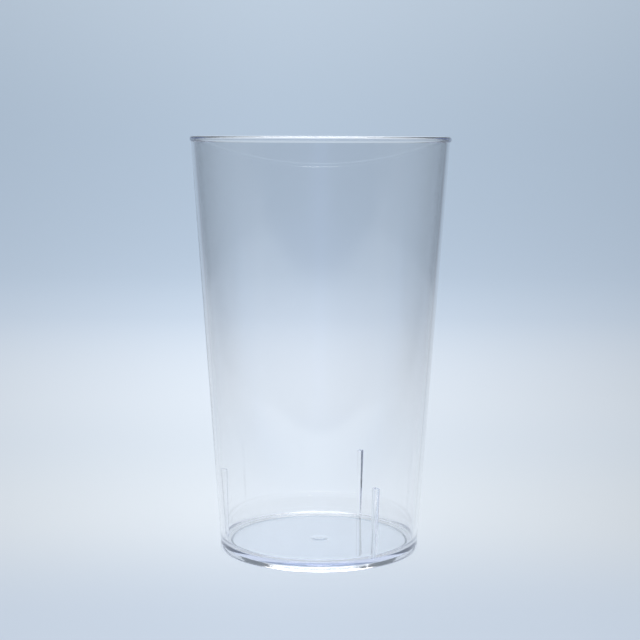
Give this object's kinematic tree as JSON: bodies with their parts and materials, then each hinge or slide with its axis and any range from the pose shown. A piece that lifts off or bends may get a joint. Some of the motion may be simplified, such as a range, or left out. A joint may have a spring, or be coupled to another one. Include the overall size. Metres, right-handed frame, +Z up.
{
  "type": "stacking tumbler",
  "caption": "Tall tapered drinking tumbler in clear plastic, with a fine lip bead, a foot ring and stacking ribs inside above the floor.",
  "frame": {"origin": "middle of the foot ring's face, on the surface that the tumbler stands on", "axes": "+Z up along the tumbler's axis, towards the lip; -Y is the side seen in the picture"},
  "size_m": [0.0874, 0.0874, 0.14],
  "materials": {
    "clear_plastic": "polished, see-through, with a faint blue tint"
  },
  "bodies": {
    "root": {"tumbler": "clear_plastic"}
  },
  "joints": []
}
